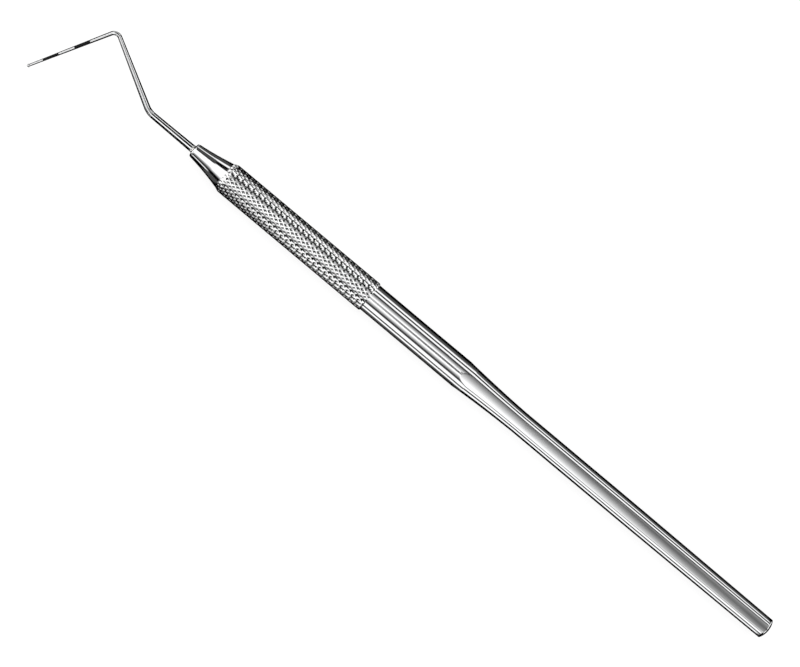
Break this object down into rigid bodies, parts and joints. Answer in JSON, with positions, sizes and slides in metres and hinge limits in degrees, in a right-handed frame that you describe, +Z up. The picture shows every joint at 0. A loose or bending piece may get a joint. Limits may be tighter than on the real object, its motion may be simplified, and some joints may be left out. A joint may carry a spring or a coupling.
{
  "type": "periodontal probe",
  "caption": "Single-ended dental periodontal probe: bent tapered wire with a small ball end and black depth bands, on a knurled steel handle with a flat-sided tail.",
  "frame": {"origin": "on the handle's axis, at the middle of the plain round collar", "axes": "+X along the handle's axis towards its flat-sided tail, +Y to the side that the wire's second bend stands out to, +Z square to the plane of the bends; the probe lies flat with +Z up"},
  "size_m": [0.1649, 0.0151, 0.006],
  "materials": {
    "handle_steel": "polished stainless steel",
    "wire_steel": "polished stainless steel wire",
    "braze": "polished silver braze",
    "band_enamel": "satin black enamel fill"
  },
  "bodies": {
    "root": {"handle": "handle_steel", "working_end": "wire_steel", "braze_fillet": "braze", "depth_band_3_to_6_mm": "band_enamel", "depth_band_9_to_12_mm": "band_enamel"}
  },
  "joints": []
}
